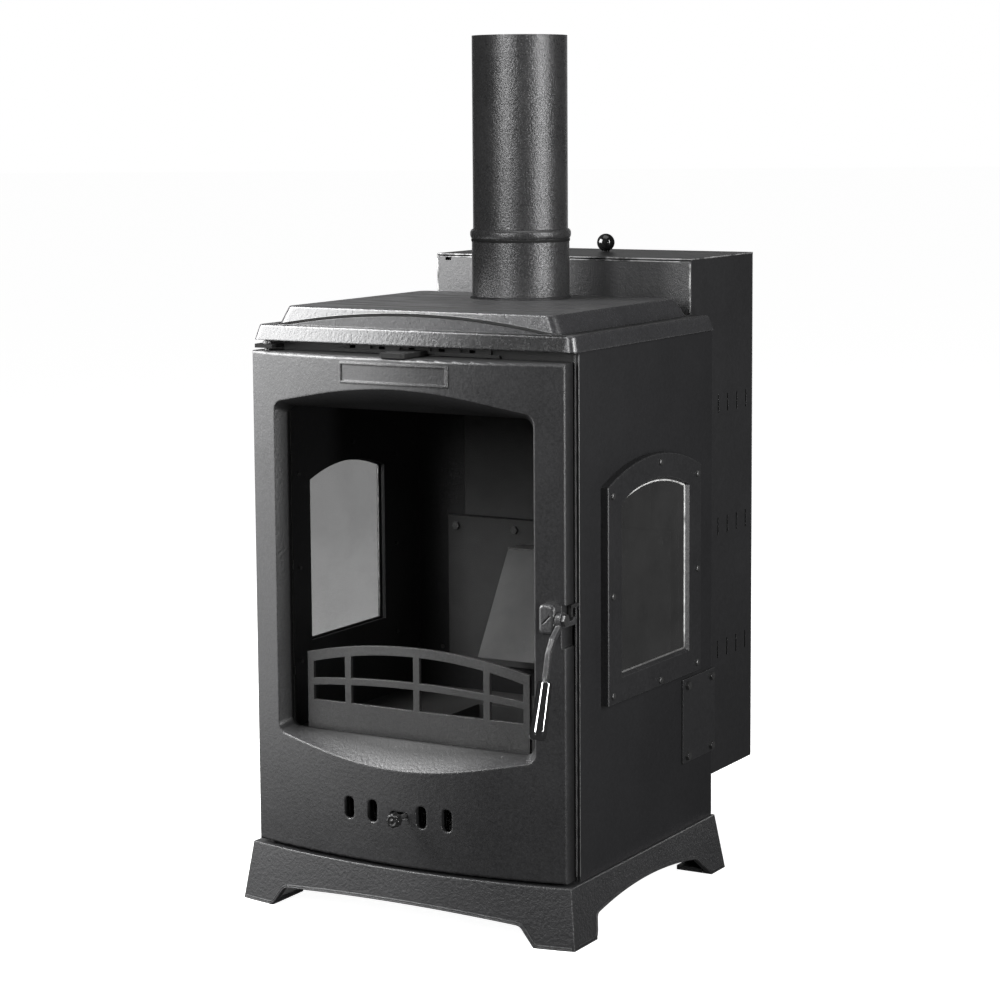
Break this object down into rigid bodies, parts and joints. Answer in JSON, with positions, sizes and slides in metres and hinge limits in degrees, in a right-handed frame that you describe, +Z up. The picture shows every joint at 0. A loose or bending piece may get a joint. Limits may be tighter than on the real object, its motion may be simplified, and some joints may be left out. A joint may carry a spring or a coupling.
{
  "type": "pellet stove",
  "caption": "Upright black pellet stove on a cast base: bowed glass door with lever latch, side windows, top flue, air slides and a rear pellet hopper with lift-off lid.",
  "frame": {"origin": "on the floor, under the centre of the whole stove's bounding box", "axes": "+Z up, -Y towards the viewer in front of the door, +X to the right of that viewer"},
  "size_m": [0.493, 0.6894, 1.123],
  "materials": {
    "cast_black": "matt black stove paint on cast iron",
    "sheet_black": "matt black heat paint",
    "flue_grey": "satin dark grey heat paint",
    "chrome": "polished",
    "fastener_steel": "blackened steel",
    "knob_black": "glossy black",
    "stove_glass": "clear ceramic glass",
    "seal_rope": "dark glass-fibre rope",
    "inner_iron": "bare, heat-darkened",
    "inner_sheet": "bare, heat-darkened sheet",
    "firebrick": "heat-darkened board"
  },
  "bodies": {
    "stove": {"base_plinth": "cast_black", "body_bottom_plate": "sheet_black", "side_panel_right": "sheet_black", "side_panel_left": "sheet_black", "rear_panel": "sheet_black", "front_frame": "sheet_black", "top_plate": "cast_black", "flue_collar": "cast_black", "flue_pipe_lower": "flue_grey", "flue_pipe_upper": "flue_grey", "latch_keeper": "sheet_black", "top_hinge_bracket": "sheet_black", "hinge_pins": "fastener_steel", "hinge_washer": "fastener_steel", "air_wash_rails": "sheet_black", "air_wash_channel": "sheet_black", "window_frame_right": "cast_black", "window_frame_left": "cast_black", "side_glass_right": "stove_glass", "side_glass_left": "stove_glass", "side_glass_gaskets": "seal_rope", "window_screws": "fastener_steel", "firebox_floor": "inner_iron", "burn_pot": "inner_iron", "ash_pan": "inner_sheet", "ash_pan_rests": "inner_sheet", "baffle_plate": "firebrick", "baffle_rests": "inner_iron", "rear_liner": "inner_iron", "chute_plate": "inner_iron", "chute_plate_bolts": "fastener_steel", "feed_chute": "inner_sheet", "front_retainer": "inner_iron", "hopper_front_panel": "sheet_black", "hopper_side_right": "sheet_black", "hopper_side_left": "sheet_black", "hopper_rear_panel": "sheet_black", "hopper_bottom_panel": "sheet_black", "hopper_top_cover": "sheet_black", "lid_ledge": "sheet_black", "pellet_bin": "inner_sheet", "corner_brackets": "sheet_black", "bracket_bolts": "fastener_steel"},
    "door": {"door_casting": "cast_black", "door_glass": "stove_glass", "door_glass_gasket": "seal_rope", "door_glass_clips": "fastener_steel", "door_clip_screws": "fastener_steel", "door_rope_seal": "seal_rope", "air_slide_rails": "inner_sheet", "handle_boss": "cast_black", "handle_spindle": "fastener_steel"},
    "handle": {"handle_lever": "cast_black", "handle_grip": "chrome"},
    "primary_air": {"air_slide_plate": "inner_sheet", "air_slide_stud": "fastener_steel", "air_slide_knob": "knob_black"},
    "air_wash": {"air_wash_slider": "cast_black"},
    "lid": {"hopper_lid": "sheet_black", "lid_knob": "knob_black"}
  },
  "joints": [
    {"name": "door_swing", "type": "hinge", "parent": "stove", "child": "door", "pos_m": [-0.213, -0.25009, 0.0786], "axis": [0, 0, 1], "range_deg": [-100, 0]},
    {"name": "handle_turn", "type": "hinge", "parent": "door", "child": "handle", "pos_m": [0.2242, -0.27309, 0.411], "axis": [1, 0, 0], "range_deg": [-75, 6]},
    {"name": "primary_air_slide", "type": "slide", "parent": "door", "child": "primary_air", "axis": [1, 0, 0], "range_m": [-0.018, 0]},
    {"name": "air_wash_slide", "type": "slide", "parent": "stove", "child": "air_wash", "axis": [1, 0, 0], "range_m": [-0.011, 0.011]},
    {"name": "lid_lift", "type": "slide", "parent": "stove", "child": "lid", "axis": [0, 0, 1], "range_m": [0, 0.08]}
  ]
}
